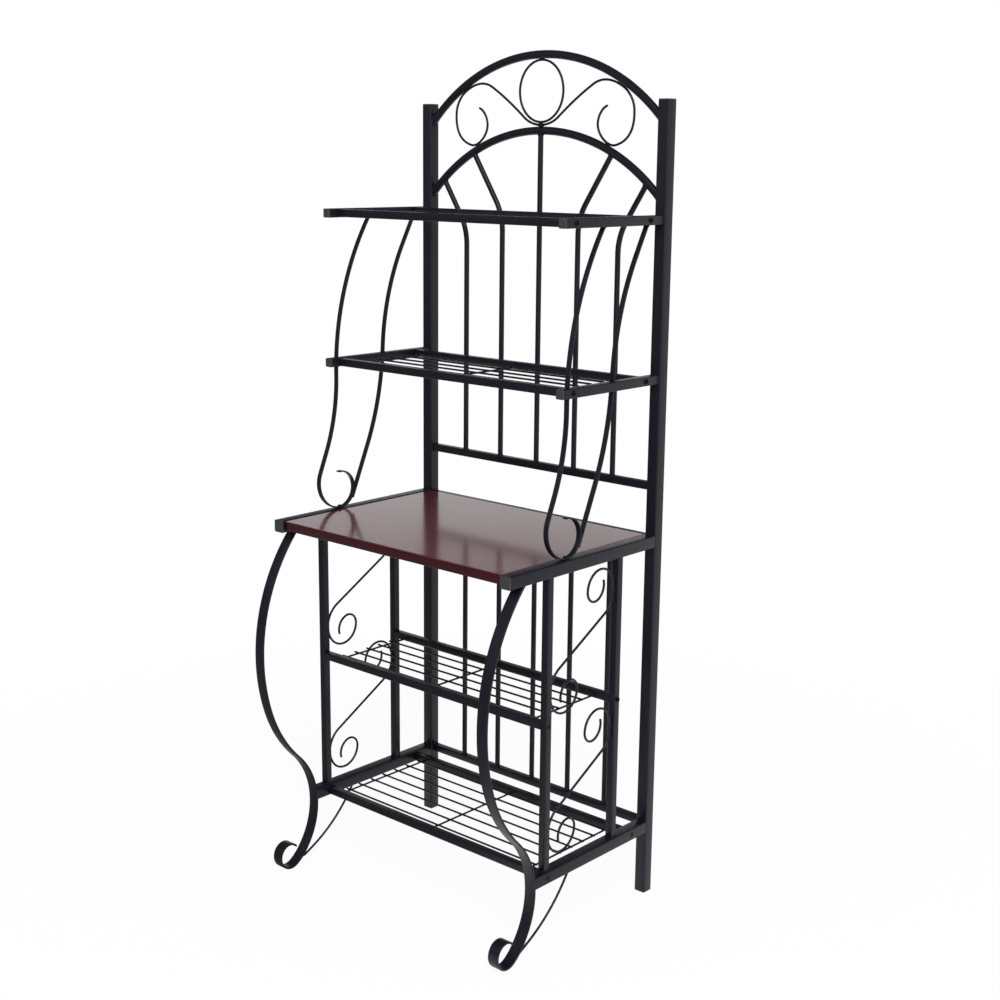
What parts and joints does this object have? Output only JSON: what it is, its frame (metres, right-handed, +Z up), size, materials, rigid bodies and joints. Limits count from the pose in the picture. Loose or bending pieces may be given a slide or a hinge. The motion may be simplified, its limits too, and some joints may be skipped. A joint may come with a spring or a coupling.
{
  "type": "bakers rack",
  "caption": "Tall steel bakers rack with an arched scrollwork back, S-shaped side bars, open wire shelves, a wooden table and bent flat-bar legs that end in curls.",
  "frame": {"origin": "on the floor, in the middle of the rack's width and of its depth", "axes": "+X to the viewer's right when facing the rack, +Y to the back, towards the wall, +Z up"},
  "size_m": [0.645, 0.5144, 1.7018],
  "materials": {
    "frame_steel": "black powder coat, half gloss",
    "board": "dark red-brown board with a gloss lacquer",
    "end_caps": "dark grey moulded plastic, matt"
  },
  "bodies": {
    "root": {"left_rear_post": "frame_steel", "right_rear_post": "frame_steel", "left_post_cap": "end_caps", "right_post_cap": "end_caps", "left_rear_foot": "end_caps", "right_rear_foot": "end_caps", "outer_arch": "frame_steel", "inner_arch": "frame_steel", "arch_ring": "frame_steel", "left_arch_scroll": "frame_steel", "right_arch_scroll": "frame_steel", "upper_back_panel": "frame_steel", "lower_back_panel": "frame_steel", "top_shelf_left_rail": "frame_steel", "top_shelf_right_rail": "frame_steel", "top_shelf_front_rail": "frame_steel", "top_shelf_back_rail": "frame_steel", "top_shelf_wires": "frame_steel", "top_shelf_left_cap": "end_caps", "top_shelf_right_cap": "end_caps", "middle_shelf_left_rail": "frame_steel", "middle_shelf_right_rail": "frame_steel", "middle_shelf_front_rail": "frame_steel", "middle_shelf_back_rail": "frame_steel", "middle_shelf_wires": "frame_steel", "middle_shelf_left_cap": "end_caps", "middle_shelf_right_cap": "end_caps", "left_front_s_bar_lower": "frame_steel", "right_front_s_bar_lower": "frame_steel", "left_front_s_bar_upper": "frame_steel", "right_front_s_bar_upper": "frame_steel", "left_rear_s_bar_lower": "frame_steel", "right_rear_s_bar_lower": "frame_steel", "left_rear_s_bar_upper": "frame_steel", "right_rear_s_bar_upper": "frame_steel", "left_table_rail": "frame_steel", "right_table_rail": "frame_steel", "left_table_rail_cap": "end_caps", "right_table_rail_cap": "end_caps", "table_top": "board", "left_bottom_rail": "frame_steel", "right_bottom_rail": "frame_steel", "left_front_inner_post": "frame_steel", "right_front_inner_post": "frame_steel", "left_rear_inner_post": "frame_steel", "right_rear_inner_post": "frame_steel", "left_leg": "frame_steel", "right_leg": "frame_steel", "left_leg_brace": "frame_steel", "right_leg_brace": "frame_steel", "left_upper_side_scroll": "frame_steel", "right_upper_side_scroll": "frame_steel", "left_lower_side_scroll": "frame_steel", "right_lower_side_scroll": "frame_steel", "lower_shelf_front_rail": "frame_steel", "lower_shelf_back_rail": "frame_steel", "lower_shelf_wires": "frame_steel", "bottom_shelf_front_rail": "frame_steel", "bottom_shelf_back_rail": "frame_steel", "bottom_shelf_wires": "frame_steel"}
  },
  "joints": []
}
